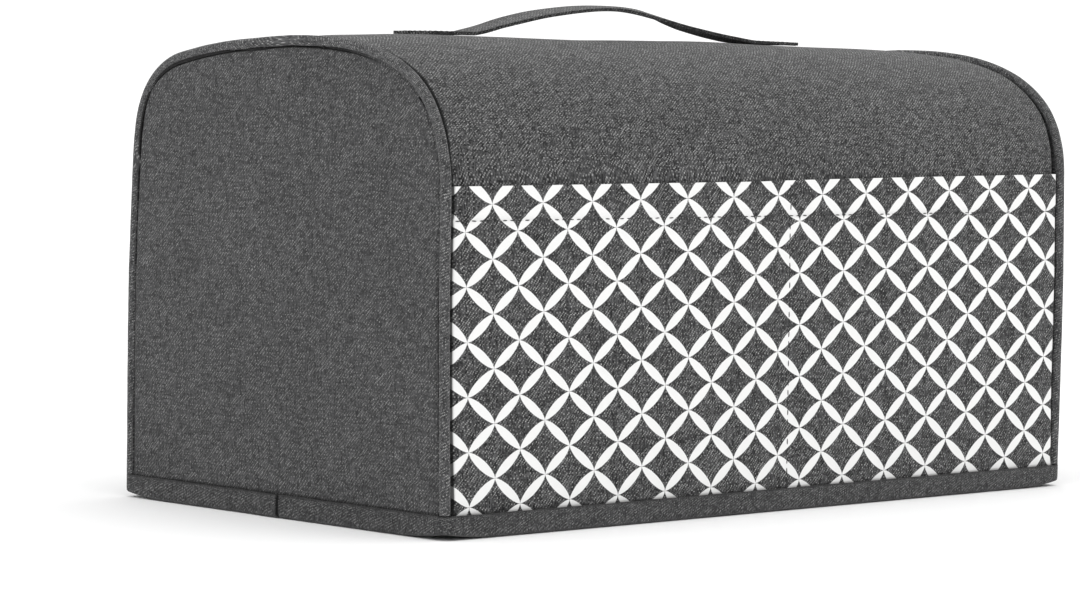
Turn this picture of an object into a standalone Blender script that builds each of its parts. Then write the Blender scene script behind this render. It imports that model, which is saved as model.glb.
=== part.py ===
"""Toaster cover: a soft cloth hood with an open foot, a front pocket and a carrying strap.

Metres, +Z up. The origin is the middle of the footprint, on the surface that the hem rests on.
The front, with the pocket, faces -Y, and the piped ends face -X and +X.
"""

import math

import bmesh
import bpy

# Overall size
WIDTH = 0.398
DEPTH = 0.206
HEIGHT = 0.204

# Cloth
GAP = 0.0003
WALL = 0.0020
POCKET_CLOTH = 0.0012
TAPE_CLOTH = 0.0012
STRAP_CLOTH = 0.0018

# Arch of the hood, seen from the end
SHOULDER = 0.0604
ROUNDNESS = 2.84
END_LEAN = 0.0020
LEAN_START = 0.100
END_SWELL = 0.0007
SWELL_TOP = 0.160

# Piping in the two arched seams
PIPE_RADIUS = 0.0028
PIPE_PROUD = 0.0008

# Bound hem
HEM_HEIGHT = 0.0096
HEM_ROUND = 0.0014
HEM_CORNER = 0.0070
CORNER_LIFT = 0.0024
CORNER_REACH = 0.0280
CLOTH_FOOT = 0.0042

# Softness of the panels
END_BULGE = 0.0008
SEAM_TUCK = 0.0010
TUCK_REACH = 0.012

# Front pocket
POCKET_TOP = 0.1440

# Carrying strap along the top
STRAP_WIDTH = 0.024
STRAP_SKEW = 0.012
SKEW_START = -0.010
SKEW_REACH = 0.040

# Height of the crown over its mean, from the left seam to the right one: x, rise
CROWN_WAVE = (
    (-0.190, 0.0000),
    (-0.065, 0.0001),
    (-0.015, 0.0000),
    (0.035, 0.0003),
    (0.070, 0.0007),
    (0.120, 0.0004),
    (0.190, 0.0000),
)

# Clearance of the strap over the crown, sewn flat at both ends: x, lift
STRAP_RISE = (
    (-0.126, 0.0000),
    (-0.112, 0.0000),
    (-0.101, 0.0002),
    (-0.093, 0.0010),
    (-0.073, 0.0056),
    (-0.050, 0.0102),
    (-0.030, 0.0130),
    (-0.010, 0.0144),
    (0.004, 0.0138),
    (0.020, 0.0119),
    (0.036, 0.0086),
    (0.050, 0.0058),
    (0.066, 0.0028),
    (0.080, 0.0004),
    (0.092, 0.0000),
    (0.108, 0.0000),
)

# Values that follow from the sizes
TAPE_STACK = TAPE_CLOTH + GAP
PIPE_X = WIDTH / 2 - TAPE_STACK + PIPE_PROUD - PIPE_RADIUS
PIPE_Y = DEPTH / 2 - TAPE_STACK + PIPE_PROUD - PIPE_RADIUS
PIPE_CLEAR = PIPE_RADIUS + GAP
SPRING = HEIGHT - SHOULDER
CROWN = HEIGHT - PIPE_PROUD
FRONT_Y = DEPTH / 2 - TAPE_STACK - POCKET_CLOTH - GAP
BACK_Y = DEPTH / 2 - TAPE_STACK


def ease(value):
    """Smooth step from 0 to 1."""
    value = min(1.0, max(0.0, value))
    return value * value * (3.0 - 2.0 * value)


def along(table, x):
    """Smooth curve through the rows of a table, level past its ends."""
    if x <= table[0][0]:
        return table[0][1]
    if x >= table[-1][0]:
        return table[-1][1]
    last = len(table) - 1
    row = 0
    while table[row + 1][0] < x:
        row += 1

    def slope(index):
        low = max(index - 1, 0)
        high = min(index + 1, last)
        return (table[high][1] - table[low][1]) / (table[high][0] - table[low][0])

    span = table[row + 1][0] - table[row][0]
    part = (x - table[row][0]) / span
    start_slope = slope(row) * span
    end_slope = slope(row + 1) * span
    rise = table[row + 1][1] - table[row][1]
    bend = (2.0 * part - 3.0) * part * part
    return (
        table[row][1]
        - bend * rise
        + ((part - 2.0) * part + 1.0) * part * start_slope
        + (part - 1.0) * part * part * end_slope
    )


def lean(z):
    """How far the ends draw in at height z: they swell a little halfway up and lean in at the top."""
    swell = END_SWELL * math.sin(math.pi * min(1.0, max(0.0, z / SWELL_TOP)))
    return END_LEAN * max(0.0, (z - LEAN_START) / (HEIGHT - LEAN_START)) - swell


def arch(turn, half_front, half_back, crown):
    """Point of an arch, from 0 at the front spring line to 1 at the back one."""
    angle = math.pi * turn
    power = 2.0 / ROUNDNESS
    reach = abs(math.cos(angle)) ** power
    y = -half_front * reach if turn < 0.5 else half_back * reach
    return y, SPRING + (crown - SPRING) * math.sin(angle) ** power


def outline(part, foot, half_front, half_back, crown):
    """Point of the hood's outline, from the foot of the front, over the top, to the back foot."""
    wall = SPRING - foot
    arc = 1.9 * (crown - SPRING + half_front)
    total = 2.0 * wall + arc
    run = part * total
    if run < wall:
        return -half_front, foot + run
    if run > wall + arc:
        return half_back, foot + total - run
    turn = (run - wall) / arc
    return arch(turn, half_front, half_back, crown)


def crowded(part):
    """Move even steps toward both ends, where the cloth turns into the seams."""
    return 0.5 - 0.5 * math.cos(math.pi * part)


def hood_point(across, part, cover=0.0):
    """Point on the outside of the main panel, or of cloth that lies a little over it."""
    y, z = outline(part, CLOTH_FOOT, FRONT_Y + cover, BACK_Y + cover, CROWN + cover)
    x = across * (PIPE_X - PIPE_CLEAR - lean(z))
    free = ease((z - HEM_HEIGHT) / 0.04)
    edge = (PIPE_X - PIPE_CLEAR - lean(z) - abs(x)) / TUCK_REACH
    tuck = SEAM_TUCK * free * math.exp(-edge * edge)
    on_top = ease((z - SPRING) / (CROWN - SPRING))
    y -= math.copysign(min(tuck, abs(y)) * (1.0 - on_top), y)
    z += on_top * (along(CROWN_WAVE, x) - tuck)
    return x, y, z


def end_point(across, up):
    """Point on an end panel, seen square on: a patch between its four edges."""
    half = PIPE_Y - PIPE_CLEAR
    crown = HEIGHT - PIPE_RADIUS - PIPE_CLEAR
    split = 0.33

    def rim(part):
        return outline(part, CLOTH_FOOT, half, half, crown)

    left = rim(split * up)
    right = rim(1.0 - split * up)
    top = rim(split + (1.0 - 2.0 * split) * across)
    corner = rim(split)
    values = []
    for axis in (0, 1):
        foot_left = rim(0.0)[axis]
        foot_right = rim(1.0)[axis]
        top_left = corner[axis]
        top_right = rim(1.0 - split)[axis]
        sides = (1.0 - across) * left[axis] + across * right[axis]
        ends = (1.0 - up) * ((1.0 - across) * foot_left + across * foot_right) + up * top[axis]
        mean = (1.0 - up) * ((1.0 - across) * foot_left + across * foot_right)
        mean += up * ((1.0 - across) * top_left + across * top_right)
        values.append(sides + ends - mean)
    return values[0], values[1]


def end_bulge(across, up):
    """Outward swell of an end panel, nothing at its seams."""
    swell = max(0.0, math.sin(math.pi * across)) * max(0.0, math.sin(math.pi * up)) ** 1.5
    return END_BULGE * swell


def ring(half_x, front, back, radius, long_steps, short_steps, corner_steps):
    """Rounded outline of the footprint, counterclockwise from the middle of the left end."""
    corners = (
        (-half_x + radius, -front + radius, 1.0, short_steps),
        (half_x - radius, -front + radius, 1.5, long_steps),
        (half_x - radius, back - radius, 2.0, short_steps),
        (-half_x + radius, back - radius, 2.5, long_steps),
    )
    points = []
    for number, (x, y, start, steps) in enumerate(corners):
        before_x, before_y = corners[number - 1][:2]
        angle = math.pi * start
        first = (x + radius * math.cos(angle), y + radius * math.sin(angle))
        begin = (before_x + radius * math.cos(angle), before_y + radius * math.sin(angle))
        for step in range(1, steps):
            part = crowded(step / steps)
            points.append((begin[0] + (first[0] - begin[0]) * part, begin[1] + (first[1] - begin[1]) * part))
        for step in range(corner_steps + 1):
            turn = angle + math.pi / 2 * step / corner_steps
            points.append((x + radius * math.cos(turn), y + radius * math.sin(turn)))
    return points


def hem_section():
    """Section of the folded tape: share of the way to the inside, and height."""
    tape = TAPE_STACK * 2 + WALL
    soft = HEM_ROUND / tape
    inner_top = HEM_HEIGHT - 0.0008
    rows = [(1.0, inner_top), (1.0, HEM_HEIGHT / 2), (1.0, HEM_ROUND)]
    for turn in (0.25, 0.5, 0.75):
        angle = math.pi / 2 * turn
        rows.append((1.0 - soft * (1.0 - math.cos(angle)), HEM_ROUND * (1.0 - math.sin(angle))))
    rows.append((1.0 - soft, 0.0))
    rows.append((soft, 0.0))
    for turn in (0.25, 0.5, 0.75):
        angle = math.pi / 2 * turn
        rows.append((soft * (1.0 - math.sin(angle)), HEM_ROUND * (1.0 - math.cos(angle))))
    rows += [(0.0, HEM_ROUND), (0.0, HEM_HEIGHT / 2), (0.0, HEM_HEIGHT)]
    return rows


def corner_lift(x, y, z):
    """The foot of the hem rises a little at each corner of the footprint."""
    far = (WIDTH / 2 - abs(x)) + (DEPTH / 2 - abs(y))
    near = max(0.0, 1.0 - far / CORNER_REACH)
    return CORNER_LIFT * near * near * max(0.0, 1.0 - z / HEM_HEIGHT)


def cloth_material(name, colour, roughness):
    """Plain cloth colour."""
    material = bpy.data.materials.new(name)
    material.use_nodes = True
    shader = material.node_tree.nodes["Principled BSDF"]
    shader.inputs["Base Color"].default_value = (*colour, 1.0)
    shader.inputs["Roughness"].default_value = roughness
    shader.inputs["Metallic"].default_value = 0.0
    material.diffuse_color = (*colour, 1.0)
    return material


def add_object(name, data, material, location=(0.0, 0.0, 0.0)):
    """Put one piece into the collection, under the hood's empty."""
    piece = bpy.data.objects.new(name, data)
    data.materials.append(material)
    parts.objects.link(piece)
    piece.parent = root
    piece.location = location
    return piece


def cloth_sheet(name, columns, rows, place, thickness, material, location=(0.0, 0.0, 0.0), weld=False, grow=-1.0):
    """A grid laid along a surface and thickened: grow -1 is inward, 1 is outward."""
    shape = bmesh.new()
    bmesh.ops.create_grid(shape, x_segments=columns, y_segments=rows, size=0.5)
    for vert in shape.verts:
        x, y, z = place(vert.co.x + 0.5, vert.co.y + 0.5)
        vert.co = (x - location[0], y - location[1], z - location[2])
    if weld:
        bmesh.ops.remove_doubles(shape, verts=shape.verts, dist=0.000001)
    mesh = bpy.data.meshes.new(name)
    shape.to_mesh(mesh)
    shape.free()
    mesh.shade_smooth()
    mesh.set_sharp_from_angle(angle=math.radians(40.0))
    piece = add_object(name, mesh, material, location)
    solid = piece.modifiers.new("Thickness", "SOLIDIFY")
    solid.thickness = thickness
    solid.offset = grow
    solid.use_even_offset = True
    return piece


def main_panel():
    """One panel that runs up the front, over the top and down the back."""

    def place(u, v):
        return hood_point(2.0 * crowded(u) - 1.0, v)

    return cloth_sheet("main_panel", 18, 46, place, WALL, dark_cloth)


def side_panel(name, side):
    """Arched end panel, set between its piping and the hem."""
    face = PIPE_X + WALL

    def place(u, v):
        across = crowded(u)
        up = crowded(v)
        y, z = end_point(across if side > 0 else 1.0 - across, up)
        swell = end_bulge(across, up)
        return side * (face - lean(z) + swell), y, z

    return cloth_sheet(name, 16, 16, place, WALL, dark_cloth, (side * face, 0.0, 0.0))


def piping(name, side):
    """Round welt along the arched seam, from hem to hem."""
    path = bpy.data.curves.new(name, "CURVE")
    path.dimensions = "3D"
    path.bevel_depth = PIPE_RADIUS
    path.bevel_resolution = 3
    path.use_fill_caps = True
    steps = 46
    line = path.splines.new("POLY")
    line.points.add(steps)
    for step in range(steps + 1):
        y, z = outline(step / steps, HEM_HEIGHT + GAP, PIPE_Y, PIPE_Y, HEIGHT - PIPE_RADIUS)
        line.points[step].co = (-side * lean(z), y, z, 1.0)
    return add_object(name, path, dark_cloth, (side * PIPE_X, 0.0, 0.0))


def hem_binding():
    """Tape folded over the foot of every panel, all the way round."""
    tape = TAPE_STACK * 2 + WALL
    front_tape = tape + POCKET_CLOTH + GAP
    counts = (12, 8, 5)
    outer = ring(WIDTH / 2, DEPTH / 2, DEPTH / 2, HEM_CORNER, *counts)
    inner = ring(WIDTH / 2 - tape, DEPTH / 2 - front_tape, DEPTH / 2 - tape, HEM_CORNER - tape, *counts)
    section = hem_section()
    columns = len(outer)
    rows = len(section) - 1

    def place(u, v):
        column = round(u * columns) % columns
        share, z = section[round(v * rows)]
        x = outer[column][0] + (inner[column][0] - outer[column][0]) * share
        y = outer[column][1] + (inner[column][1] - outer[column][1]) * share
        return x, y, z + corner_lift(outer[column][0], outer[column][1], z)

    return cloth_sheet("hem_binding", columns, rows, place, TAPE_CLOTH, dark_cloth, weld=True)


def pocket_panel():
    """Patch pocket over the lower front, open along its top edge."""
    cover = POCKET_CLOTH + GAP
    top = (POCKET_TOP - CLOTH_FOOT) / (2.0 * (SPRING - CLOTH_FOOT) + 1.9 * (CROWN + cover - SPRING + FRONT_Y + cover))

    def place(u, v):
        return hood_point(2.0 * crowded(u) - 1.0, top * v, cover)

    return cloth_sheet("pocket_panel", 18, 14, place, POCKET_CLOTH, print_cloth)


def handle_strap():
    """Flat strap along the crown, sewn down at both ends and arched in between, a little skewed."""
    start = STRAP_RISE[0][0]
    length = STRAP_RISE[-1][0] - start

    def place(u, v):
        x = start + length * u
        skew = STRAP_SKEW * ease((x - SKEW_START) / SKEW_REACH) * (2.0 * v - 1.0)
        base = CROWN + along(CROWN_WAVE, x) + GAP
        return x, STRAP_WIDTH * (v - 0.5), base + max(0.0, along(STRAP_RISE, x - skew))

    return cloth_sheet(
        "handle_strap", 44, 2, place, STRAP_CLOTH, dark_cloth, (0.0, 0.0, CROWN), grow=1.0
    )


# Start from an empty scene
for old in list(bpy.data.objects):
    bpy.data.objects.remove(old, do_unlink=True)

parts = bpy.data.collections.new("toaster_cover")
bpy.context.scene.collection.children.link(parts)
root = bpy.data.objects.new("toaster_cover_origin", None)
root.empty_display_size = 0.05
parts.objects.link(root)

dark_cloth = cloth_material("charcoal_cloth", (0.055, 0.056, 0.060), 0.92)
print_cloth = cloth_material("printed_cloth", (0.30, 0.30, 0.31), 0.90)

main_panel()
side_panel("side_panel_left", -1)
side_panel("side_panel_right", 1)
piping("piping_left", -1)
piping("piping_right", 1)
hem_binding()
pocket_panel()
handle_strap()
bpy.context.view_layer.update()
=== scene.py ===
"""Toaster cover: soft charcoal cloth hood with piped ends, a bound hem, a printed pocket and a strap.

Sizes are in metres. The front faces -Y and the piped ends face -X and +X.
"""

import math

import bmesh
import bpy
from bpy.props import FloatProperty, FloatVectorProperty, IntProperty, PointerProperty
from bpy.types import Operator, Panel, PropertyGroup
from mathutils import Matrix, Vector, noise


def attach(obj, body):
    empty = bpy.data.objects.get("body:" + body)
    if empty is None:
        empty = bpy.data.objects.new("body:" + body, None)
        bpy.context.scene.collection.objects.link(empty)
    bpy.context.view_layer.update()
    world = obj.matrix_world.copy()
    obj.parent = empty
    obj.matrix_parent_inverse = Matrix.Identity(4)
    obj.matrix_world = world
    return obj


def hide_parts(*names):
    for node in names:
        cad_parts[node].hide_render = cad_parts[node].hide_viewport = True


bl_info = {
    "name": "Toaster Cover",
    "version": (1, 0, 0),
    "blender": (4, 5, 0),
    "location": "View3D > Sidebar > Cover",
    "description": "Builds a cloth toaster cover with a printed pocket, piping, bound hem and strap",
    "category": "Add Mesh",
}

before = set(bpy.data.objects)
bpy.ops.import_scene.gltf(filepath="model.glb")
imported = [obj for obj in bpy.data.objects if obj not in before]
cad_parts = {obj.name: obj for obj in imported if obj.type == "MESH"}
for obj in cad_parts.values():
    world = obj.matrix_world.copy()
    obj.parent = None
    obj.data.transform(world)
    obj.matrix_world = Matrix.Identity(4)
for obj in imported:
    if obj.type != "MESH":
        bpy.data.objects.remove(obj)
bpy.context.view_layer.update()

# Heights of the crown over its plain form, from the left seam to the right one: x, rise
CROWN_WAVE = (
    (-0.190, -0.0010),
    (-0.165, -0.0001),
    (-0.140, 0.0006),
    (-0.110, 0.0008),
    (-0.075, 0.0009),
    (-0.030, 0.0007),
    (0.020, 0.0011),
    (0.045, 0.0015),
    (0.080, 0.0011),
    (0.120, 0.0007),
    (0.190, 0.0000),
)

# How the arch slopes behind its crown: distance back, rise
BACK_SLOPE = (
    (0.000, 0.0000),
    (0.012, -0.0006),
    (0.025, -0.0013),
    (0.038, -0.0017),
    (0.051, -0.0020),
    (0.065, -0.0017),
    (0.078, -0.0004),
    (0.088, 0.0000),
)

# Underside of the strap over the plain crown, along its front edge and its back edge: x, height
STRAP_FRONT = (
    (-0.126, 0.0000),
    (-0.110, 0.0000),
    (-0.101, 0.0006),
    (-0.093, 0.0019),
    (-0.081, 0.0048),
    (-0.060, 0.0088),
    (-0.045, 0.0110),
    (-0.034, 0.0123),
    (-0.022, 0.0132),
    (-0.010, 0.0133),
    (0.001, 0.0123),
    (0.013, 0.0103),
    (0.025, 0.0082),
    (0.040, 0.0058),
    (0.052, 0.0041),
    (0.064, 0.0027),
    (0.080, 0.0011),
    (0.108, 0.0008),
)
STRAP_BACK = (
    (-0.126, 0.0000),
    (-0.108, 0.0000),
    (-0.095, 0.0006),
    (-0.086, 0.0023),
    (-0.076, 0.0047),
    (-0.067, 0.0071),
    (-0.056, 0.0094),
    (-0.045, 0.0114),
    (-0.029, 0.0134),
    (-0.012, 0.0146),
    (0.004, 0.0150),
    (0.016, 0.0148),
    (0.026, 0.0137),
    (0.034, 0.0115),
    (0.041, 0.0092),
    (0.050, 0.0068),
    (0.061, 0.0048),
    (0.072, 0.0030),
    (0.084, 0.0015),
    (0.096, 0.0009),
    (0.108, 0.0008),
)

# How far the left front corner stands back from the plain form: height, shift
CORNER_SET = (
    (0.000, -0.0022),
    (0.035, -0.0014),
    (0.075, -0.0004),
    (0.110, 0.0006),
    (0.144, 0.0020),
    (0.160, 0.0042),
    (0.175, 0.0048),
    (0.190, 0.0035),
    (0.204, 0.0000),
)


def linear(code):
    """Linear colour with alpha from an sRGB hex code."""
    values = [int(code[place : place + 2], 16) / 255.0 for place in (1, 3, 5)]
    return tuple(v / 12.92 if v <= 0.04045 else ((v + 0.055) / 1.055) ** 2.4 for v in values) + (1.0,)


def length(name, description, default, low=0.0, high=1.0):
    """A length property in metres."""
    return FloatProperty(
        name=name, description=description, default=default, min=low, max=high, unit="LENGTH", precision=5
    )


def colour(name, description, code):
    """A colour property from a hex code."""
    return FloatVectorProperty(
        name=name, description=description, default=linear(code), size=4, subtype="COLOR", min=0.0, max=1.0
    )


class CoverSizes(PropertyGroup):
    """Sizes of the cut and sewn pieces."""

    width: length("Width", "Across the piped ends, at the hem", 0.398)
    depth: length("Depth", "Front to back, at the hem", 0.206)
    height: length("Height", "Floor to the top of the piping", 0.204)
    gap: length("Seam gap", "Space between neighbouring cloths", 0.0003)
    wall: length("Panel cloth", "Thickness of the main and end panels", 0.0020)
    pocket_cloth: length("Pocket cloth", "Thickness of the pocket", 0.0012)
    tape_cloth: length("Tape cloth", "Thickness of the hem tape", 0.0012)
    strap_cloth: length("Strap cloth", "Thickness of the doubled strap", 0.0014)
    shoulder: length("Shoulder", "Height of the rounded part of the arch", 0.0604)
    front_round: FloatProperty(name="Front shoulder", description="Squareness of the arch in front", default=2.62)
    back_round: FloatProperty(name="Back shoulder", description="Squareness of the arch behind", default=3.3)
    left_drop: length("Left drop", "How much lower the arch is at the left end", 0.0018)
    end_lean: length("End lean", "How far the ends lean in at the top", 0.0020)
    lean_start: length("Lean start", "Height where the lean begins", 0.100)
    end_swell: length("End line swell", "How far the ends swell out below the lean", 0.0007)
    swell_top: length("Swell top", "Height where the swell ends", 0.160)
    pipe_radius: length("Piping radius", "Radius of the round welt", 0.0028)
    pipe_proud: length("Piping rise", "How far the piping stands out of the panels", 0.0008)
    welt: length("Welt", "Radius of the part of the piping that shows between the cloths", 0.0022)
    hem_height: length("Hem height", "Height of the hem tape", 0.0096)
    hem_round: length("Hem fold", "Radius of the tape's fold", 0.0014)
    hem_corner: length("Hem corner", "Radius of the footprint's corners", 0.0056)
    hem_swell: length("Hem swell", "How far the soft tape stands out", 0.0004)
    corner_lift: length("Corner lift", "Rise of the hem's foot at the corners", 0.0024)
    corner_reach: length("Corner reach", "Length of hem that rises with a corner", 0.0280)
    cloth_foot: length("Cloth foot", "Height of the panels' lower edges", 0.0042)
    end_bulge: length("End swell", "Outward swell of the end panels", 0.0008)
    seam_tuck: length("Seam tuck", "How far the cloth draws in at its seams", 0.0010)
    tuck_reach: length("Tuck reach", "Width of cloth that draws in", 0.012)
    pocket_top: length("Pocket top", "Height of the pocket's open edge", 0.1437)
    pocket_tilt: FloatProperty(name="Pocket tilt", description="Slope of the pocket's open edge", default=0.009)
    print_tilt: FloatProperty(name="Print tilt", description="Slope of the print at the open edge", default=0.016)
    print_shear: FloatProperty(name="Print shear", description="Lean of the print's columns", default=0.016)
    hem_tilt: FloatProperty(name="Stitch tilt", description="Slope of the row of stitches", default=0.003)
    pocket_hem: length("Pocket hem", "Depth of the turned hem along the pocket's edge", 0.0151)
    pocket_split: length("Pocket split", "Place of the pocket's centre stitch", 0.0072, -0.1, 0.1)
    strap_width: length("Strap width", "Width of the strap", 0.024)
    tape_join: length("Tape join", "Place of the hem tape's overlap on the left end", -0.0020, -0.1, 0.1)


class CoverCloth(PropertyGroup):
    """Weave and print."""

    thread: length("Thread", "Width of one yarn of the twill, drawn a little coarse", 0.00062)
    tape_thread: length("Tape thread", "Width of one yarn of the hem tape", 0.00050)
    repeat_x: length("Repeat across", "Width of the print's repeat", 0.0285)
    repeat_z: length("Repeat up", "Height of the print's repeat", 0.02266)
    start_x: length("Print start", "A node of the print, from the middle", -0.0012, -0.1, 0.1)
    start_z: length("Print height", "Height of the highest row of nodes", 0.1374)
    petal: FloatProperty(name="Petal", description="Half width of a petal in repeats", default=0.127, min=0, max=0.5)
    dark_yarn: colour("Dark yarn", "Darkest warp yarn", "#0e0e0f")
    grey_yarn: colour("Grey yarn", "Lighter warp yarn", "#525253")
    weft_yarn: colour("Weft yarn", "Darker weft yarn", "#1e1e1f")
    pale_yarn: colour("Pale yarn", "Lightest weft yarn", "#989897")
    mean_yarn: colour("Mean yarn", "Mean shade of the twill", "#464647")
    print_white: colour("Print", "White of the printed petals", "#ececeb")
    sewing: colour("Sewing thread", "Thread of the seams", "#2c2c2e")
    pocket_sewing: colour("Pocket thread", "Thread of the pocket's stitches", "#262626")
    floor: colour("Floor", "Pale studio floor", "#fbfbfb")


class CoverDetail(PropertyGroup):
    """How finely the cloth is made."""

    columns: IntProperty(name="Columns", description="Steps of cloth across the cover", default=130, min=20, max=300)
    rows: IntProperty(name="Rows", description="Steps of cloth over the top", default=230, min=20, max=400)


def sizes():
    return bpy.context.scene.cover_sizes


def cloth():
    return bpy.context.scene.cover_cloth


def ease(value):
    """Smooth step from 0 to 1."""
    value = min(1.0, max(0.0, value))
    return value * value * (3.0 - 2.0 * value)


def along(table, x):
    """Smooth curve through the rows of a table, level past its ends."""
    if x <= table[0][0]:
        return table[0][1]
    if x >= table[-1][0]:
        return table[-1][1]
    last = len(table) - 1
    row = 0
    while table[row + 1][0] < x:
        row += 1

    def slope(index):
        low = max(index - 1, 0)
        high = min(index + 1, last)
        return (table[high][1] - table[low][1]) / (table[high][0] - table[low][0])

    span = table[row + 1][0] - table[row][0]
    part = (x - table[row][0]) / span
    bend = (2.0 * part - 3.0) * part * part
    return (
        table[row][1]
        - bend * (table[row + 1][1] - table[row][1])
        + ((part - 2.0) * part + 1.0) * part * slope(row) * span
        + (part - 1.0) * part * part * slope(row + 1) * span
    )


def crowded(part):
    """Move even steps toward both ends, where the cloth turns into the seams."""
    return 0.5 - 0.5 * math.cos(math.pi * part)


def edges():
    """Places that follow from the sizes: piping line, spring line, crown and the two walls."""
    s = sizes()
    stack = s.tape_cloth + s.gap
    pipe_x = s.width / 2 - stack + s.pipe_proud - s.pipe_radius
    pipe_y = s.depth / 2 - stack + s.pipe_proud - s.pipe_radius
    front = s.depth / 2 - stack - s.pocket_cloth - s.gap
    out = s.pipe_radius - s.welt
    return {
        "stack": stack,
        "welt_x": pipe_x + out,
        "welt_y": pipe_y + out,
        "edge_x": pipe_x + out - s.welt - s.gap,
        "edge_y": pipe_y + out - s.welt - s.gap,
        "pipe_x": pipe_x,
        "pipe_y": pipe_y,
        "spring": s.height - s.shoulder,
        "crown": s.height - s.pipe_proud,
        "front": front,
        "back": s.depth / 2 - stack,
    }


def lean(z):
    """How far the ends draw in at height z: they swell a little halfway up and lean in at the top."""
    s = sizes()
    swell = s.end_swell * math.sin(math.pi * min(1.0, max(0.0, z / s.swell_top)))
    return s.end_lean * max(0.0, (z - s.lean_start) / (s.height - s.lean_start)) - swell


def outline(part, foot, half_front, half_back, crown):
    """Point of the hood's outline, from the foot of the front, over the top, to the back foot."""
    s = sizes()
    spring = s.height - s.shoulder
    wall = spring - foot
    arc = 1.9 * (crown - spring + half_front)
    run = part * (2.0 * wall + arc)
    if run < wall:
        return -half_front, foot + run
    if run > wall + arc:
        return half_back, foot + 2.0 * wall + arc - run
    angle = math.pi * (run - wall) / arc
    power = 2.0 / (s.front_round if angle < math.pi / 2 else s.back_round)
    reach = abs(math.cos(angle)) ** power
    y = -half_front * reach if angle < math.pi / 2 else half_back * reach
    return y, spring + (crown - spring) * math.sin(angle) ** power + along(BACK_SLOPE, y)


def settled(point):
    """The point moved by the set of the left front corner, whose foot stands forward."""
    if point.y < 0.0:
        half = sizes().depth / 2
        left = ease((half * 1.8 - point.x) / (half * 3.6))
        point.y += left * min(1.0, -point.y / half) * along(CORNER_SET, point.z)
    return point


def hood_point(across, part, cover=0.0):
    """Point on the outside of the main panel, or of cloth that lies a little over it."""
    s = sizes()
    e = edges()
    y, z = outline(part, s.cloth_foot, e["front"] + cover, e["back"] + cover, e["crown"] + cover)
    half = e["edge_x"] - lean(z)
    x = across * half
    free = ease((z - s.hem_height) / 0.04)
    edge = (half - abs(x)) / s.tuck_reach
    tuck = s.seam_tuck * free * math.exp(-edge * edge)
    on_top = ease((z - e["spring"]) / (e["crown"] - e["spring"]))
    y -= math.copysign(min(tuck, abs(y)) * (1.0 - on_top), y)
    z += on_top * (along(CROWN_WAVE, x) - tuck)
    return settled(Vector((x, y, z)))


def soft(point, size, seed):
    """Slow unevenness of hand-sewn cloth, from -1 to 1."""
    return noise.noise(point / size + Vector((seed, seed * 0.7, -seed)))


def seam_pucker(run, edge, seed, reach=0.006, step=0.011):
    """Small ripples that the sewing draws into the cloth beside a seam."""
    near = math.exp(-max(0.0, edge) / reach)
    return near * (soft(Vector((run, 0.0, 0.0)), step, seed) + 0.5 * soft(Vector((run, 0.0, 0.0)), step * 0.4, seed))


def edge_roll(edge, depth=0.0014, reach=0.0013):
    """How far cloth turns down into a seam at a distance from it."""
    edge = max(0.0, edge) / reach
    return -depth * math.exp(-edge * edge)


def seam_shade(edge, reach=0.0015, core=0.6):
    """Strength of the painted shade along a seam, where the cloth turns in and falls into shade: 1 over its core, 0
    from its reach on.
    """
    return 1.0 - ease((max(0.0, edge) / reach - core) / (1.0 - core))


def hem_shade(z):
    """Painted shade on the cloth just over the hem tape, where the tape stands out from it."""
    return 0.75 * seam_shade(z - sizes().hem_height, 0.0011, 0.3)


def side_edge(point):
    """Distance of a point on the main cloth from the nearer side seam."""
    e = edges()
    return e["edge_x"] - lean(point.z) - abs(point.x)


def piping_painted_shadow(point, left, right):
    """Painted shadow beside the piping, as wide as the shadow that it casts at each end."""
    return seam_shade(side_edge(point), left if point.x < 0.0 else right, 0.8)


def hood_relief(point, run):
    """Height of the main cloth's creases over its plain form."""
    s = sizes()
    edge = side_edge(point)
    free = ease((point.z - s.hem_height - 0.003) / 0.03)
    slow = 0.00045 * soft(point, 0.085, 3.0) + 0.00022 * soft(point, 0.028, 8.0)
    pucker = 0.00030 * seam_pucker(run, edge, 21.0 if point.x < 0 else 34.0)
    return free * (slow + pucker) + ease((point.z - s.hem_height) / 0.004) * edge_roll(edge)


def run_lengths(place, steps):
    """Length of a line of cloth up to each of its even steps."""
    total = 0.0
    lengths = [0.0]
    before = place(0.0)
    for step in range(1, steps + 1):
        point = place(step / steps)
        total += (point - before).length
        lengths.append(total)
        before = point
    return lengths


def activate(piece):
    """Make one object the only selected and active one."""
    if bpy.context.mode != "OBJECT":
        bpy.ops.object.mode_set(mode="OBJECT")
    bpy.ops.object.select_all(action="DESELECT")
    piece.select_set(True)
    bpy.context.view_layer.objects.active = piece


def finish_piece(piece, material, node=None, angle=50.0):
    """Shade a piece, give it its finish, and set it in the frame."""
    activate(piece)
    bpy.ops.object.shade_smooth_by_angle(angle=math.radians(angle), keep_sharp_edges=True)
    piece.data.materials.clear()
    piece.data.materials.append(material)
    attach(piece, "root")
    if node:
        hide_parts(node)
    return piece


def thicken(piece, thickness, grow, even=False):
    """Give a sheet its thickness and apply it. Its cut edges get their own strip of the UV map."""
    activate(piece)
    outer = len(piece.data.vertices)
    faces = len(piece.data.polygons)
    wall = piece.modifiers.new("Cloth", "SOLIDIFY")
    wall.thickness = thickness
    wall.offset = grow
    wall.use_even_offset = even
    bpy.ops.object.modifier_apply(modifier=wall.name)
    uvs = piece.data.uv_layers.active.data
    for face in piece.data.polygons[2 * faces :]:
        near = [loop for loop in face.loop_indices if piece.data.loops[loop].vertex_index < outer]
        far = [loop for loop in face.loop_indices if piece.data.loops[loop].vertex_index >= outer]
        run = uvs[near[-1]].uv - uvs[near[0]].uv
        side = Vector((-run.y, run.x)).normalized() * thickness
        for loop in far:
            uvs[loop].uv = uvs[loop].uv + side


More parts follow.
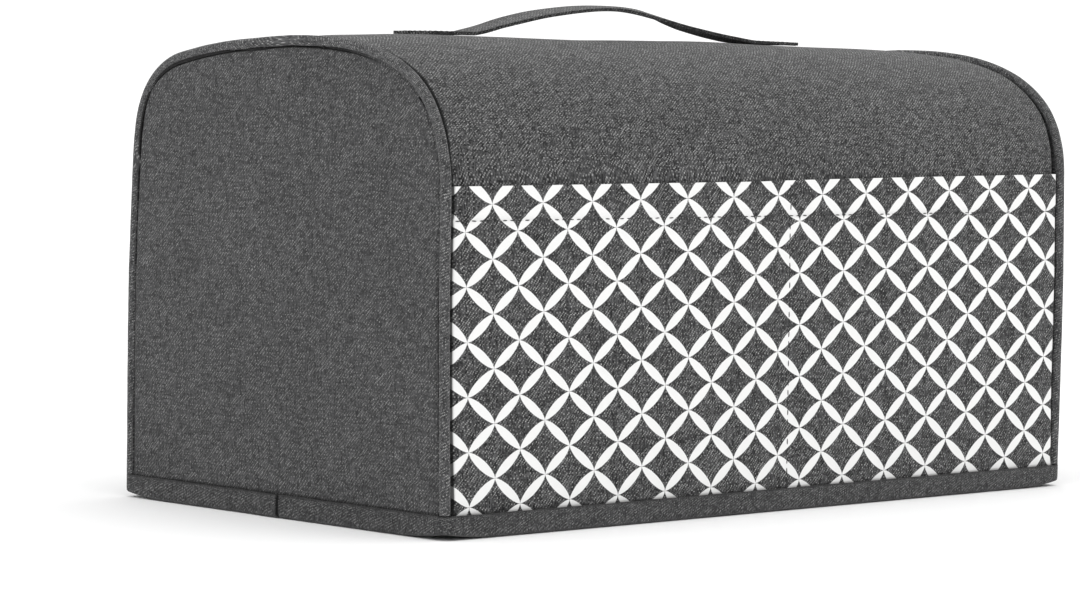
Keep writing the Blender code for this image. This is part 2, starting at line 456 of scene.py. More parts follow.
def lay_cloth(name, columns, rows, place, flat, weld=False, painted_shade=None):
    """A fine grid laid along a surface, with the flat cut as its UV map in metres and its painted shade for seams and
    edges stored on its points.
    """
    bpy.ops.object.select_all(action="DESELECT")
    bpy.ops.mesh.primitive_grid_add(x_subdivisions=columns, y_subdivisions=rows, size=1.0, calc_uvs=True)
    piece = bpy.context.object
    piece.name = name
    piece.data.name = name
    shape = bmesh.new()
    shape.from_mesh(piece.data)
    layer = shape.loops.layers.uv.verify()
    # Painted shade: how far each point's colour is darkened, where seams and edges fall into shade
    mark = shape.verts.layers.float.new("painted_shade")
    spots = {}
    for vert in shape.verts:
        u = vert.co.x + 0.5
        v = vert.co.y + 0.5
        spots[vert.index] = flat(u, v)
        vert.co = place(u, v)
        vert[mark] = painted_shade(u, v, vert.co) if painted_shade else 0.0
    for face in shape.faces:
        for loop in face.loops:
            loop[layer].uv = spots[loop.vert.index]
    if weld:
        bmesh.ops.remove_doubles(shape, verts=shape.verts, dist=0.000001)
    shape.to_mesh(piece.data)
    shape.free()
    return piece


def raised(place, relief):
    """Surface with its relief: the point moved along the surface's own normal."""

    def lifted(u, v):
        step = 0.0008
        u0 = max(0.0, u - step)
        u1 = min(1.0, u + step)
        v0 = max(0.0, v - step)
        v1 = min(1.0, v + step)
        normal = (place(u1, v) - place(u0, v)).cross(place(u, v1) - place(u, v0))
        point = place(u, v)
        if normal.length_squared < 1e-20:
            return point
        return point + normal.normalized() * relief(u, v, point)

    return lifted


def node(tree, kind, inputs=None, **settings):
    """Add a node with its settings, values and links."""
    made = tree.nodes.new(kind)
    for key, value in settings.items():
        setattr(made, key, value)
    for key, value in (inputs or {}).items():
        if isinstance(value, bpy.types.NodeSocket):
            tree.links.new(value, made.inputs[key])
        else:
            made.inputs[key].default_value = value
    return made


def blank_material(name):
    """New node material with its tree and shader."""
    material = bpy.data.materials.new(name)
    material.use_nodes = True
    tree = material.node_tree
    return material, tree, tree.nodes["Principled BSDF"]


def calc(tree, operation, first, second=0.0, third=0.0, clamp=False):
    """Output of one sum."""
    return node(
        tree, "ShaderNodeMath", {0: first, 1: second, 2: third}, operation=operation, use_clamp=clamp
    ).outputs[0]


def weave(tree, thread, twill, turn=0.0):
    """Yarn-by-yarn cloth on the UV map: which yarn is on top, its roundness, and a chance value for each yarn."""
    place = node(tree, "ShaderNodeUVMap").outputs[0]
    # The yarns wander a little
    drift = node(
        tree, "ShaderNodeTexNoise", {"Vector": place, "Scale": 160.0, "Detail": 1.0}, noise_dimensions="2D"
    ).outputs[1]
    drift = node(tree, "ShaderNodeVectorMath", {0: drift, 1: (0.0014,) * 3}, operation="MULTIPLY").outputs[0]
    moved = node(tree, "ShaderNodeVectorMath", {0: place, 1: drift}, operation="ADD").outputs[0]
    turned = node(
        tree, "ShaderNodeMapping", {"Vector": moved, "Rotation": (0.0, 0.0, turn), "Scale": (1 / thread,) * 3}
    ).outputs[0]
    split = node(tree, "ShaderNodeSeparateXYZ", {0: turned})
    u = split.outputs[0]
    v = split.outputs[1]
    column = calc(tree, "FLOOR", u)
    row = calc(tree, "FLOOR", v)
    step = calc(tree, "FLOORED_MODULO", calc(tree, "SUBTRACT", column, row), float(twill))
    warp_up = calc(tree, "LESS_THAN", step, twill - 1.5 if twill > 2 else 0.5)

    def round_yarn(value):
        middle = calc(tree, "SUBTRACT", calc(tree, "FRACT", value), 0.5)
        return calc(tree, "SUBTRACT", 1.0, calc(tree, "MULTIPLY", calc(tree, "MULTIPLY", middle, middle), 3.4))

    height = node(
        tree, "ShaderNodeMix", {0: warp_up, 2: round_yarn(v), 3: round_yarn(u)}, data_type="FLOAT"
    ).outputs[0]

    def chance(first, second):
        spot = node(tree, "ShaderNodeCombineXYZ", {0: first, 1: second}).outputs[0]
        return node(tree, "ShaderNodeTexWhiteNoise", {"Vector": spot}, noise_dimensions="2D").outputs[0]

    # Each yarn keeps its shade for two to four millimetres, which gives the heathered look
    warp_piece = calc(tree, "FLOOR", calc(tree, "ADD", calc(tree, "MULTIPLY", v, 0.24), chance(column, 7.5)))
    weft_piece = calc(tree, "FLOOR", calc(tree, "ADD", calc(tree, "MULTIPLY", u, 0.28), chance(row, 3.5)))
    warp_chance = chance(column, warp_piece)
    weft_chance = chance(calc(tree, "ADD", weft_piece, 50.0), row)
    return place, warp_up, height, warp_chance, weft_chance


def yarn_mix(tree, factor, first, second):
    """Colour between two colours or sockets."""
    return node(
        tree, "ShaderNodeMix", {0: factor, 6: first, 7: second}, data_type="RGBA", clamp_factor=True
    ).outputs[2]


def shaded(tree, tint, shade):
    """A colour multiplied by a grey value."""
    grey = node(tree, "ShaderNodeCombineColor", {0: shade, 1: shade, 2: shade}).outputs[0]
    return node(
        tree, "ShaderNodeMix", {0: 1.0, 6: tint, 7: grey}, data_type="RGBA", blend_type="MULTIPLY"
    ).outputs[2]


def twill_colour(tree, thread, turn=0.0, plain=0.0):
    """Colour and height of the heathered twill; plain draws its yarns toward one shade."""
    c = cloth()
    place, warp_up, height, warp_chance, weft_chance = weave(tree, thread, 3, turn)
    warp = yarn_mix(tree, warp_chance, tuple(c.dark_yarn), tuple(c.grey_yarn))
    weft = yarn_mix(tree, calc(tree, "POWER", weft_chance, 1.3), tuple(c.weft_yarn), tuple(c.pale_yarn))
    woven = yarn_mix(tree, warp_up, weft, warp)
    woven = yarn_mix(tree, plain, woven, tuple(c.mean_yarn))
    # Painted shade: each yarn is darker toward its sides, where it dips under its neighbours
    shade = calc(tree, "ADD", calc(tree, "MULTIPLY", height, 0.55), 0.55)
    # Slow change of shade where the cloth was dyed and handled unevenly
    slow = node(
        tree, "ShaderNodeTexNoise", {"Vector": place, "Scale": 26.0, "Detail": 3.0}, noise_dimensions="2D"
    ).outputs[0]
    shade = calc(tree, "MULTIPLY", shade, calc(tree, "ADD", calc(tree, "MULTIPLY", slow, 0.24), 0.88))

    def streaks(scale):
        spread = node(tree, "ShaderNodeMapping", {"Vector": place, "Scale": scale}).outputs[0]
        return node(
            tree, "ShaderNodeTexNoise", {"Vector": spread, "Scale": 1.0, "Detail": 1.0}, noise_dimensions="2D"
        ).outputs[0]

    # Thick and thin yarns show as short streaks both ways, about 7 mm long
    crossed = calc(tree, "ADD", streaks((1000.0, 140.0, 1.0)), streaks((140.0, 1000.0, 1.0)))
    shade = calc(tree, "MULTIPLY", shade, calc(tree, "ADD", calc(tree, "MULTIPLY", crossed, 0.8), 0.2))
    return place, shaded(tree, woven, shade), height


def cloth_finish(material, tree, shader, tint, height, depth):
    """Matt polyester: rough, a soft fuzz of sheen, painted shade in its seams, and the yarns as bump."""
    painted_shade = node(tree, "ShaderNodeAttribute", attribute_name="painted_shade").outputs["Fac"]
    # Painted shade: the colour is darkened by up to nine tenths where the painted shade is full
    tint = shaded(tree, tint, calc(tree, "SUBTRACT", 1.0, calc(tree, "MULTIPLY", painted_shade, 0.9)))
    tree.links.new(tint, shader.inputs["Base Color"])
    shader.inputs["Roughness"].default_value = 0.88
    shader.inputs["Sheen Weight"].default_value = 0.08
    shader.inputs["Sheen Roughness"].default_value = 0.5
    shader.inputs["Specular IOR Level"].default_value = 0.2
    bump = node(tree, "ShaderNodeBump", {"Height": height, "Strength": 0.6, "Distance": depth})
    tree.links.new(bump.outputs[0], shader.inputs["Normal"])
    return material


def twill_material(name, thread, turn=0.0, plain=0.0, depth=1.0):
    """Woven polyester twill, two yarns over one: pale flecks in diagonal ribs on charcoal."""
    material, tree, shader = blank_material(name)
    place, final, height = twill_colour(tree, thread, turn, plain)
    # The whole cloth is made darker or lighter by depth; for the piping this is painted light
    if depth != 1.0:
        final = shaded(tree, final, depth)
    return cloth_finish(material, tree, shader, final, height, 0.00012)


def printed_material():
    """The same twill with a screen-printed white lattice of overlapping circles, four petals at each node."""
    c = cloth()
    material, tree, shader = blank_material("screen_printed_polyester_twill")
    place, ground, height = twill_colour(tree, c.thread)
    split = node(tree, "ShaderNodeSeparateXYZ", {0: place})
    # The ink's edge follows the yarns, so it is a little ragged
    ragged = node(
        tree, "ShaderNodeTexNoise", {"Vector": place, "Scale": 1400.0, "Detail": 1.0}, noise_dimensions="2D"
    ).outputs[0]
    across = calc(tree, "DIVIDE", calc(tree, "SUBTRACT", split.outputs[0], c.start_x), c.repeat_x)
    up = calc(tree, "DIVIDE", calc(tree, "SUBTRACT", split.outputs[1], c.start_z), c.repeat_z)
    first = calc(tree, "ADD", across, up)
    second = calc(tree, "SUBTRACT", across, up)

    def petals(run, side):
        along_run = calc(tree, "FRACT", run)
        swell = calc(tree, "MULTIPLY", calc(tree, "MULTIPLY", along_run, calc(tree, "SUBTRACT", 1.0, along_run)), 4.0)
        half = calc(tree, "MULTIPLY", calc(tree, "POWER", swell, 0.68), c.petal)
        off = calc(tree, "ABSOLUTE", calc(tree, "SUBTRACT", calc(tree, "FRACT", side), 0.5))
        off = calc(tree, "SUBTRACT", 0.5, off)
        return calc(tree, "SUBTRACT", half, off)

    inside = calc(tree, "MAXIMUM", petals(first, second), petals(second, first))
    inside = calc(tree, "ADD", inside, calc(tree, "MULTIPLY", calc(tree, "SUBTRACT", ragged, 0.5), 0.012))
    ink = node(
        tree, "ShaderNodeMapRange", {"Value": inside, "From Min": 0.002, "From Max": 0.012}, clamp=True
    ).outputs[0]
    # Painted shade: the ink is a little darker toward the sides of each yarn
    paint = shaded(tree, tuple(c.print_white), calc(tree, "ADD", calc(tree, "MULTIPLY", height, 0.06), 0.93))
    return cloth_finish(material, tree, shader, yarn_mix(tree, ink, ground, paint), height, 0.00010)


def thread_material(name, shade):
    """Spun polyester sewing thread: matt, with its twist as fine bump."""
    material, tree, shader = blank_material(name)
    place = node(tree, "ShaderNodeTexCoord").outputs["Object"]
    twist = node(
        tree, "ShaderNodeTexWave", {"Vector": place, "Scale": 900.0, "Distortion": 1.5}, bands_direction="DIAGONAL"
    )
    shades = yarn_mix(tree, twist.outputs[1], tuple(0.75 * v for v in shade[:3]) + (1.0,), tuple(shade))
    tree.links.new(shades, shader.inputs["Base Color"])
    shader.inputs["Roughness"].default_value = 0.7
    bump = node(tree, "ShaderNodeBump", {"Height": twist.outputs[1], "Strength": 0.4, "Distance": 0.0001})
    tree.links.new(bump.outputs[0], shader.inputs["Normal"])
    return material


def stitch_row(name, line, pitch, stitch, radius, material):
    """A row of stitches: one stitch is modelled and copied along a line of (point, normal)."""
    bpy.ops.object.select_all(action="DESELECT")
    bpy.ops.mesh.primitive_uv_sphere_add(segments=8, ring_count=6, radius=0.5)
    piece = bpy.context.object
    piece.name = name
    piece.data.name = name
    single = piece.data.copy()
    shape = bmesh.new()
    reach = 0.0
    before = line[0][0]
    marks = [(0.0, line[0][0], line[0][1])]
    for point, normal in line[1:]:
        reach += (point - before).length
        marks.append((reach, point, normal))
        before = point
    total = reach
    count = max(1, int(total / pitch))
    place = 0
    for number in range(count):
        target = (number + 0.5) * total / count
        while place < len(marks) - 2 and marks[place + 1][0] < target:
            place += 1
        low = marks[place]
        high = marks[place + 1]
        part = (target - low[0]) / max(1e-9, high[0] - low[0])
        centre = low[1].lerp(high[1], part)
        normal = low[2].lerp(high[2], part).normalized()
        run = (high[1] - low[1]).normalized()
        side = normal.cross(run).normalized()
        swing = 0.06 * math.sin(number * 2.4)
        run = (run + side * swing).normalized()
        side = normal.cross(run).normalized()
        turn = Matrix((run * stitch, side * radius * 2.0, normal * radius * 2.0)).transposed()
        copy = bmesh.new()
        copy.from_mesh(single)
        for vert in copy.verts:
            vert.co = centre + turn @ vert.co
        mesh = bpy.data.meshes.new("stitch")
        copy.to_mesh(mesh)
        copy.free()
        shape.from_mesh(mesh)
        bpy.data.meshes.remove(mesh)
    shape.to_mesh(piece.data)
    shape.free()
    bpy.data.meshes.remove(single)
    return finish_piece(piece, material)


def surface_line(place, start, end, steps, lift):
    """Points and normals along a straight line of a surface's own steps."""
    points = []
    for step in range(steps + 1):
        u = start[0] + (end[0] - start[0]) * step / steps
        v = start[1] + (end[1] - start[1]) * step / steps
        small = 0.002
        du = place(min(1.0, u + small), v) - place(max(0.0, u - small), v)
        dv = place(u, min(1.0, v + small)) - place(u, max(0.0, v - small))
        normal = du.cross(dv).normalized()
        points.append((place(u, v) + normal * lift, normal))
    return points


class COVER_OT_stage(Operator):
    """Pale floor, soft studio light and the camera"""

    bl_idname = "cover.stage"
    bl_label = "Stage"

    def execute(self, context):
        c = cloth()
        bpy.ops.object.select_all(action="DESELECT")
        bpy.ops.mesh.primitive_plane_add(size=60.0, location=(0.0, 0.0, -0.0003))
        floor = bpy.context.object
        floor.name = "studio_floor"
        material, tree, shader = blank_material("matt_painted_floor")
        mottle = node(
            tree, "ShaderNodeTexNoise", {"Vector": node(tree, "ShaderNodeTexCoord").outputs["Object"], "Scale": 3.0}
        ).outputs[0]
        pale = yarn_mix(tree, mottle, tuple(0.985 * v for v in c.floor[:3]) + (1.0,), tuple(c.floor))
        tree.links.new(pale, shader.inputs["Base Color"])
        shader.inputs["Roughness"].default_value = 0.95
        shader.inputs["Specular IOR Level"].default_value = 0.1
        floor.data.materials.append(material)

        world = bpy.data.worlds.new("studio_world")
        context.scene.world = world
        world.use_nodes = True
        sky = world.node_tree.nodes["Background"]
        sky.inputs[0].default_value = linear("#ffffff")
        sky.inputs[1].default_value = 1.12
        context.scene.view_settings.view_transform = "Standard"

        # Large soft lamps: one over the front, one over the left end
        lights = (("front_softbox", (0.3, -0.7, 1.9), 0.50, 50.0), ("left_softbox", (-1.4, -0.3, 1.6), 0.22, 60.0))
        for name, place, power, spread in lights:
            bpy.ops.object.light_add(type="SUN", location=place)
            light = bpy.context.object
            light.name = name
            light.data.energy = power
            light.data.angle = math.radians(spread)
            light.rotation_euler = (-Vector(place)).to_track_quat("-Z", "Y").to_euler()

        yaw = math.radians(44.23)
        pitch = math.radians(3.19)
        roll = math.radians(1.14)
        forward = Vector((math.sin(yaw) * math.cos(pitch), math.cos(yaw) * math.cos(pitch), -math.sin(pitch)))
        level = Vector((math.cos(yaw), -math.sin(yaw), 0.0))
        upright = level.cross(forward)
        right = math.cos(roll) * level + math.sin(roll) * upright
        up = -math.sin(roll) * level + math.cos(roll) * upright
        bpy.ops.object.camera_add()
        camera = bpy.context.object
        camera.name = "photo_camera"
        turn = Matrix((right, up, -forward)).transposed().to_4x4()
        camera.matrix_world = Matrix.Translation((-1.2642, -1.2514, 0.1826)) @ turn
        camera.data.sensor_width = 36.0
        camera.data.lens = 130.76
        camera.data.clip_end = 50.0
        context.scene.camera = camera
        return {"FINISHED"}


class COVER_OT_main_panel(Operator):
    """Main panel that runs up the front, over the top and down the back"""

    bl_idname = "cover.main_panel"
    bl_label = "Main panel"

    def execute(self, context):
        d = context.scene.cover_detail
        runs = run_lengths(lambda v: hood_point(0.0, v), 400)

        def run_at(v):
            return runs[min(400, round(v * 400))]

        def place(u, v):
            return hood_point(2.0 * crowded(u) - 1.0, v)

        def relief(u, v, point):
            return hood_relief(point, run_at(v))

        def flat(u, v):
            return place(u, v).x, runs[0] + v * runs[-1]

        # Painted shadow beside the piping and painted shade just over the hem tape
        def painted_shade(u, v, point):
            return max(piping_painted_shadow(point, 0.0027, 0.0013), hem_shade(point.z))

        piece = lay_cloth("main_cloth", d.columns, d.rows, raised(place, relief), flat, painted_shade=painted_shade)
        thicken(piece, sizes().wall, -1.0)
        finish_piece(piece, bpy.data.materials["heathered_polyester_twill"], "main_panel")
        return {"FINISHED"}


class COVER_OT_side_panels(Operator):
    """Arched end panels"""

    bl_idname = "cover.side_panels"
    bl_label = "End panels"

    def end_point(self, across, up, drop):
        """Point on an end panel, seen square on: a patch between its four edges."""
        s = sizes()
        e = edges()
        half = e["edge_y"]
        crown = s.height - 2.0 * s.welt - s.gap - drop
        split = 0.33

        def rim(part):
            return Vector(outline(part, s.cloth_foot, half, half, crown))

        foot = rim(0.0).lerp(rim(1.0), across)
        top = rim(split + (1.0 - 2.0 * split) * across)
        sides = rim(split * up).lerp(rim(1.0 - split * up), across)
        corners = rim(split).lerp(rim(1.0 - split), across)
        return sides + foot.lerp(top, up) - foot.lerp(corners, up)

    def execute(self, context):
        s = sizes()
        e = edges()
        material = bpy.data.materials["heathered_polyester_twill_ends"]
        for name, node_name, side in (
            ("end_cloth_left", "side_panel_left", -1.0),
            ("end_cloth_right", "side_panel_right", 1.0),
        ):

            def rim_distance(u, v):
                across = crowded(u)
                sides = min(across, 1.0 - across) * 2.0 * e["pipe_y"]
                return min(sides, (1.0 - crowded(v)) * s.height)

            def seam_depth(point):
                """How deep the seam is drawn and how strong its painted shade is: fully over the arch, little down
                the front, fading down the back.
                """
                behind = ease((point.y + 0.062) / 0.030)
                over = ease((point.z - 0.120) / 0.045)
                return (1.0 - behind) * 0.22 + behind * (0.35 + 0.65 * over)

            def place(u, v, side=side):
                across = crowded(u)
                up = crowded(v)
                drop = s.left_drop if side < 0 else 0.0
                y, z = self.end_point(across if side > 0 else 1.0 - across, up, drop)
                swell = max(0.0, math.sin(math.pi * across)) * max(0.0, math.sin(math.pi * up)) ** 1.5
                return settled(Vector((side * (e["pipe_x"] + s.wall - lean(z) + s.end_bulge * swell), y, z)))

            def relief(u, v, point, side=side, rim_distance=rim_distance):
                near = rim_distance(u, v)
                free = ease((point.z - s.hem_height - 0.003) / 0.03)
                slow = 0.00055 * soft(point, 0.07, 5.0 + side) + 0.00022 * soft(point, 0.026, 12.0)
                pucker = 0.00026 * seam_pucker(point.z + point.y, near, 44.0 + side)
                held = ease(near / 0.02)
                low = ease((point.z - s.hem_height) / 0.004)
                return free * (held * slow + pucker) + low * seam_depth(point) * edge_roll(near, 0.0018, 0.0015)

            # Painted shade in the seam round the arch and just over the hem tape
            def painted_shade(u, v, point, rim_distance=rim_distance):
                return max(seam_depth(point) * seam_shade(rim_distance(u, v)), hem_shade(point.z))

            def flat(u, v, place=place, side=side):
                point = place(u, v)
                return side * point.y, point.z

            piece = lay_cloth(name, 120, 120, raised(place, relief), flat, painted_shade=painted_shade)
            thicken(piece, s.wall, -1.0)
            finish_piece(piece, material, node_name)
        return {"FINISHED"}


class COVER_OT_piping(Operator):
    """Round welt in the two arched seams"""

    bl_idname = "cover.piping"
    bl_label = "Piping"

    def execute(self, context):
        s = sizes()
        e = edges()
        material = bpy.data.materials["bias_cut_polyester_twill_painted_lighter"]
        for name, node_name, side in (("piping_cloth_left", "piping_left", -1.0), ("piping_cloth_right", "piping_right", 1.0)):
            steps = 300

            def centre(v, side=side):
                drop = s.left_drop if side < 0 else 0.0
                y, z = outline(v, s.hem_height + s.gap, e["welt_y"], e["welt_y"], s.height - s.welt - drop)
                return Vector((side * (e["welt_x"] - lean(z)), y, z))

            runs = run_lengths(centre, steps)

            def place(u, v, side=side, centre=centre):
                point = centre(v)
                run = (centre(min(1.0, v + 0.002)) - centre(max(0.0, v - 0.002))).normalized()
                out = Vector((side, 0.0, 0.0))
                out = (out - run * out.dot(run)).normalized()
                over = run.cross(out)
                angle = 2.0 * math.pi * u
                swell = 1.0 + 0.03 * soft(point, 0.012, 17.0 + side) + 0.02 * soft(point, 0.005, 9.0)
                return settled(point + (out * math.cos(angle) + over * math.sin(angle)) * s.welt * swell)

            def flat(u, v, runs=runs):
                return u * 2.0 * math.pi * s.welt, runs[-1] * v

            piece = lay_cloth(name, 20, steps, place, flat, weld=True)
            shape = bmesh.new()
            shape.from_mesh(piece.data)
            bmesh.ops.holes_fill(shape, edges=[edge for edge in shape.edges if edge.is_boundary], sides=0)
            bmesh.ops.recalc_face_normals(shape, faces=shape.faces)
            shape.to_mesh(piece.data)
            shape.free()
            finish_piece(piece, material, node_name)
        return {"FINISHED"}


class COVER_OT_hem(Operator):
    """Tape folded over the foot of every panel"""

    bl_idname = "cover.hem"
    bl_label = "Hem tape"

    def ring(self, half_x, front, back, radius, counts):
        """Rounded outline of the footprint, counterclockwise from the middle of the left end."""
        long_steps, short_steps, corner_steps = counts
        corners = (
            (-half_x + radius, -front + radius, 1.0, short_steps),
            (half_x - radius, -front + radius, 1.5, long_steps),
            (half_x - radius, back - radius, 2.0, short_steps),
            (-half_x + radius, back - radius, 2.5, long_steps),
        )
        points = []
        for number, (x, y, start, steps) in enumerate(corners):
            before = Vector(corners[number - 1][:2])
            angle = math.pi * start
            reach = Vector((math.cos(angle), math.sin(angle))) * radius
            begin = before + reach
            first = Vector((x, y)) + reach
            parts = [step / steps for step in range(1, steps)]
            if number == 0:
                # Finer steps where the tape's end laps over its start
                join = (begin.y - sizes().tape_join) / (begin.y - first.y)
                parts = sorted(parts + [join + shift for shift in (-0.009, -0.0045, -0.0025, -0.0010, 0.0010, 0.0025, 0.0045)])
            points += [begin.lerp(first, part) for part in parts]
            for step in range(corner_steps + 1):
                turn = angle + math.pi / 2 * step / corner_steps
                points.append(Vector((x, y)) + Vector((math.cos(turn), math.sin(turn))) * radius)
        return points

    def execute(self, context):
        s = sizes()
        e = edges()
        tape = e["stack"] * 2 + s.wall
        front_tape = tape + s.pocket_cloth + s.gap
        counts = (150, 80, 8)
        half_x = s.width / 2 + s.hem_swell
        half_y = s.depth / 2 + s.hem_swell
        outer = self.ring(half_x, half_y, half_y, s.hem_corner, counts)
        inner = self.ring(
            s.width / 2 - tape, s.depth / 2 - front_tape, s.depth / 2 - tape, s.hem_corner - tape, counts
        )
        softness = s.hem_round / tape
        section = [(1.0, s.hem_height - 0.0008), (1.0, s.hem_height * 0.7), (1.0, s.hem_height * 0.4), (1.0, s.hem_round)]
        for turn in (0.25, 0.5, 0.75):
            angle = math.pi / 2 * turn
            section.append((1.0 - softness * (1.0 - math.cos(angle)), s.hem_round * (1.0 - math.sin(angle))))
        section.append((1.0 - softness, 0.0))
        section.append((softness, 0.0))
        for turn in (0.25, 0.5, 0.75):
            angle = math.pi / 2 * turn
            section.append((softness * (1.0 - math.sin(angle)), s.hem_round * (1.0 - math.cos(angle))))
        for share in (0.15, 0.3, 0.45, 0.6, 0.75, 0.88, 0.95, 1.0):
            section.append((0.0, s.hem_round + (s.hem_height - s.hem_round) * share))
        columns = len(outer)
        rows = len(section) - 1
        lengths = [0.0]
        for number in range(1, columns + 1):
            lengths.append(lengths[-1] + (outer[number % columns] - outer[number - 1]).length)

        def place(u, v):
            column = round(u * columns) % columns
            share, z = section[round(v * rows)]
            spot = outer[column].lerp(inner[column], share)
            out = outer[column] - inner[column]
            out.normalize()
            corner = (s.width / 2 - abs(outer[column].x)) + (s.depth / 2 - abs(outer[column].y))
            near = max(0.0, 1.0 - corner / s.corner_reach)
            lift = s.corner_lift * near * near * max(0.0, 1.0 - z / s.hem_height)
            outside = 1.0 if share < 0.1 else 0.0
            point = Vector((spot.x, spot.y, 0.0))
            wave = outside * ease(z / 0.004) * 0.00022 * soft(point, 0.009, 31.0)
            # The tape's end laps over its start on the left end
            lap = 0.0
            if spot.x < 0 and abs(spot.y) < s.depth / 2 - 0.02:
                over = spot.y - s.tape_join
                lap = 0.0008 * ease(over / 0.0005) * (1.0 - ease((over - 0.009) / 0.006)) * outside
            top = 0.00020 * soft(point, 0.014, 52.0) * ease((z - 0.006) / 0.003)
            return settled(Vector((spot.x + out.x * (wave + lap), spot.y + out.y * (wave + lap), z + lift + top)))

        def flat(u, v):
            return lengths[round(u * columns)], v * 0.0225

        # Painted shade at the step where the tape's end laps over its start, and along the tape's top edge
        def painted_shade(u, v, point):
            join = seam_shade(abs(point.y - s.tape_join + 0.0002), 0.0006) if point.x < 0 else 0.0
            return max(join, 0.6 * seam_shade(s.hem_height - point.z, 0.0007, 0.2))

        piece = lay_cloth("hem_tape", columns, rows, place, flat, weld=True, painted_shade=painted_shade)
        thicken(piece, s.tape_cloth, -1.0, even=True)
        finish_piece(piece, bpy.data.materials["twill_woven_polyester_tape"], "hem_binding")
        return {"FINISHED"}


class COVER_OT_pocket(Operator):
    """Printed patch pocket over the lower front"""

    bl_idname = "cover.pocket"
    bl_label = "Pocket"

    def execute(self, context):
        s = sizes()
        e = edges()
        cover = s.pocket_cloth + s.gap
        total = 2.0 * (e["spring"] - s.cloth_foot) + 1.9 * (e["crown"] - e["spring"] + e["front"] + 2 * cover)
        top = (s.pocket_top - s.cloth_foot) / total
        runs = run_lengths(lambda v: hood_point(0.0, v), 400)

        def place(u, v):
            across = 2.0 * crowded(u) - 1.0
            tilt = 1.0 + s.pocket_tilt * across * e["pipe_x"] / (s.pocket_top - s.cloth_foot)
            return hood_point(across, top * v * tilt, cover)

        def relief(u, v, point):
            run = runs[min(400, round(top * v * 400))]
            under = hood_relief(point, run)
            free = ease((point.z - s.hem_height) / 0.006)
            hem_line = s.pocket_top + s.hem_tilt * point.x - s.pocket_hem
            turned = 0.00035 * ease((point.z - hem_line - 0.0004) / 0.0012)
            sewn = -0.00025 * math.exp(-(((point.z - hem_line) / 0.0011) ** 2))
            split = -0.00025 * math.exp(-(((point.x - s.pocket_split) / 0.0030) ** 2))
            drawn = 0.00012 * soft(Vector((0.0, 0.0, point.z)), 0.004, 61.0)
            drawn *= math.exp(-(((point.x - s.pocket_split) / 0.004) ** 2))
            swell = 0.0004 * (1.0 - math.exp(-(((point.x - s.pocket_split) / 0.03) ** 2)))
            return max(under, edge_roll(side_edge(point))) + free * (turned + sewn + split + drawn + swell)

        def flat(u, v):
            point = place(u, v)
            across = point.x - s.print_shear * (s.pocket_top - point.z)
            share = point.z / s.pocket_top
            share += (1.0 - share) * ease((point.x + 0.06) / 0.18)
            return across, point.z - s.print_tilt * point.x * share

        # Painted shadow beside the piping, painted shade just over the hem tape and a faint painted shade in the
        # groove of the pocket hem's sewn line
        def painted_shade(u, v, point):
            hem_line = s.pocket_top + s.hem_tilt * point.x - s.pocket_hem
            sewn = 0.14 * seam_shade(abs(point.z - hem_line), 0.0007, 0.0)
            return max(piping_painted_shadow(point, 0.0017, 0.0013), hem_shade(point.z), sewn)

        piece = lay_cloth("pocket_cloth", 220, 110, raised(place, relief), flat, painted_shade=painted_shade)
        thicken(piece, s.pocket_cloth, -1.0)
        finish_piece(piece, bpy.data.materials["screen_printed_polyester_twill"], "pocket_panel")

        lifted = raised(place, relief)
        thread = bpy.data.materials["pocket_sewing_thread"]
        half = e["edge_x"]

        def hem_v(u):
            x = half * (2.0 * crowded(u) - 1.0)
            open_edge = s.pocket_top + s.pocket_tilt * x
            return (s.pocket_top + s.hem_tilt * x - s.pocket_hem - s.cloth_foot) / (open_edge - s.cloth_foot)

        row = []
        for step in range(100):
            ends = (0.04 + 0.0092 * step, 0.04 + 0.0092 * (step + 1))
            row += surface_line(lifted, (ends[0], hem_v(ends[0])), (ends[1], hem_v(ends[1])), 2, 0.00010)[:-1]
        stitch_row("pocket_hem_stitches", row, 0.0042, 0.0027, 0.00024, thread)
        split_u = math.acos(-s.pocket_split / half) / math.pi
        low_v = (s.hem_height + 0.001 - s.cloth_foot) / (s.pocket_top - s.cloth_foot)
        row = surface_line(lifted, (split_u, low_v), (split_u, 0.995), 90, 0.00012)
        stitch_row("pocket_centre_stitches", row, 0.0042, 0.0027, 0.00024, thread)
        return {"FINISHED"}


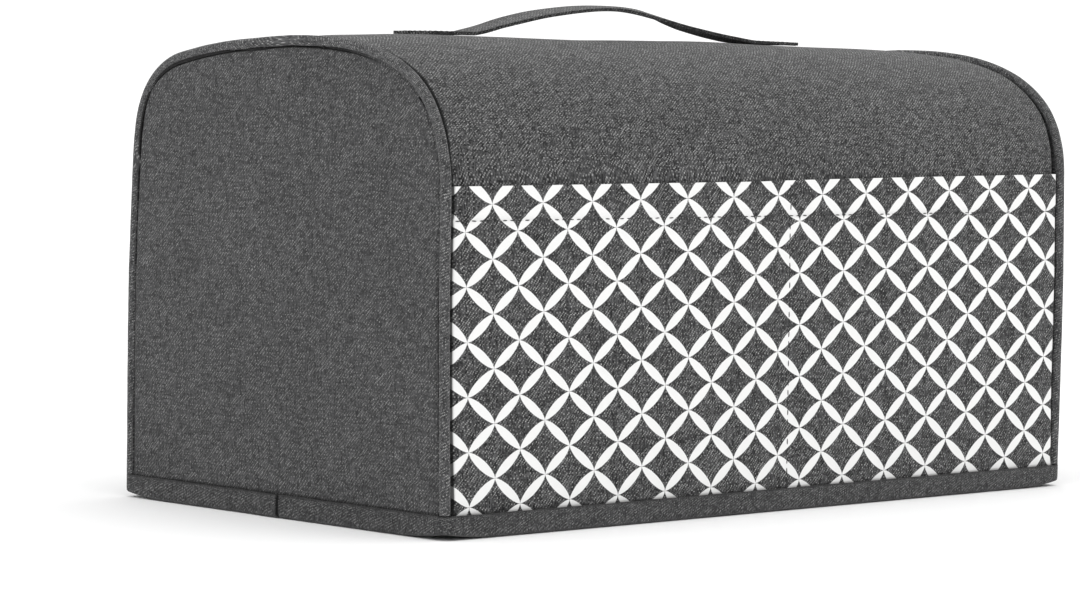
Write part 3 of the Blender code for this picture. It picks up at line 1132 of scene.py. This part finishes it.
class COVER_OT_strap(Operator):
    """Flat carrying strap along the crown"""

    bl_idname = "cover.strap"
    bl_label = "Strap"

    def execute(self, context):
        s = sizes()
        e = edges()
        start = STRAP_FRONT[0][0]
        reach = STRAP_FRONT[-1][0] - start

        def place(u, v):
            x = start + reach * u
            height = (1.0 - v) * along(STRAP_FRONT, x) + v * along(STRAP_BACK, x)
            base = e["crown"] + s.gap + max(height, along(CROWN_WAVE, x))
            return Vector((x, s.strap_width * (v - 0.5), base))

        runs = run_lengths(lambda u: place(u, 0.5), 300)
        seam = 0.0021

        def edge_distance(v):
            return min(v, 1.0 - v) * s.strap_width

        def relief(u, v, point):
            free = ease((point.z - e["crown"] - 0.001) / 0.004)
            sewn = math.exp(-(((edge_distance(v) - seam) / 0.0007) ** 2))
            return free * 0.0003 * soft(point, 0.03, 71.0) - 0.00018 * sewn

        # Painted shade along the strap's folded edges and in the groove of its sewn line
        def painted_shade(u, v, point):
            fold = 0.5 if edge_distance(v) < 0.0002 else 0.0
            return max(fold, 0.5 * seam_shade(abs(edge_distance(v) - seam), 0.0007, 0.2))

        def flat(u, v):
            return runs[min(300, round(u * 300))], s.strap_width * v

        piece = lay_cloth("strap_cloth", 170, 40, raised(place, relief), flat, painted_shade=painted_shade)
        thicken(piece, s.strap_cloth, 1.0)
        finish_piece(piece, bpy.data.materials["heathered_polyester_twill"], "handle_strap")

        thread = bpy.data.materials["seam_sewing_thread"]
        height = s.strap_cloth
        for label, first, last in (("left", 0.014, 0.100), ("right", 0.860, 0.986)):
            path = []
            for corner, after in (
                ((first, 0.1), (last, 0.1)),
                ((last, 0.1), (last, 0.9)),
                ((last, 0.9), (first, 0.9)),
                ((first, 0.9), (first, 0.1)),
            ):
                path += [(point + Vector((0, 0, height)), up) for point, up in surface_line(place, corner, after, 12, 0.0)]
            stitch_row(f"strap_stitches_{label}", path, 0.0032, 0.0023, 0.00016, thread)
        return {"FINISHED"}


class COVER_PT_panel(Panel):
    """Lists the cover's pieces"""

    bl_idname = "COVER_PT_panel"
    bl_label = "Toaster Cover"
    bl_space_type = "VIEW_3D"
    bl_region_type = "UI"
    bl_category = "Cover"

    def draw(self, context):
        layout = self.layout
        for operator in STEPS:
            layout.operator(operator.bl_idname)
        for group in (context.scene.cover_sizes, context.scene.cover_cloth, context.scene.cover_detail):
            box = layout.box()
            for key in group.__annotations__:
                box.prop(group, key)


GROUPS = (CoverSizes, CoverCloth, CoverDetail)
STEPS = (
    COVER_OT_stage,
    COVER_OT_main_panel,
    COVER_OT_side_panels,
    COVER_OT_piping,
    COVER_OT_hem,
    COVER_OT_pocket,
    COVER_OT_strap,
)


def register():
    for item in GROUPS + STEPS + (COVER_PT_panel,):
        bpy.utils.register_class(item)
    bpy.types.Scene.cover_sizes = PointerProperty(type=CoverSizes)
    bpy.types.Scene.cover_cloth = PointerProperty(type=CoverCloth)
    bpy.types.Scene.cover_detail = PointerProperty(type=CoverDetail)


def unregister():
    del bpy.types.Scene.cover_detail
    del bpy.types.Scene.cover_cloth
    del bpy.types.Scene.cover_sizes
    for item in reversed(GROUPS + STEPS + (COVER_PT_panel,)):
        bpy.utils.unregister_class(item)


def make_finishes():
    """All the cloth and thread finishes."""
    c = cloth()
    twill_material("heathered_polyester_twill", c.thread)
    twill_material("heathered_polyester_twill_ends", c.thread * 0.92, plain=0.38, depth=0.97)
    # The piping is the same twill made 1.25 times lighter: painted light, for the light that its round welt catches
    twill_material("bias_cut_polyester_twill_painted_lighter", c.thread * 0.8, math.radians(20.0), 0.3, 1.25)
    twill_material("twill_woven_polyester_tape", c.tape_thread, math.radians(20.0), 0.3, 0.86)
    printed_material()
    thread_material("seam_sewing_thread", c.sewing)
    thread_material("pocket_sewing_thread", c.pocket_sewing)


def main():
    register()
    make_finishes()
    bpy.ops.cover.stage()
    bpy.ops.cover.main_panel()
    bpy.ops.cover.side_panels()
    bpy.ops.cover.piping()
    bpy.ops.cover.hem()
    bpy.ops.cover.pocket()
    bpy.ops.cover.strap()


if __name__ == "__main__":
    main()
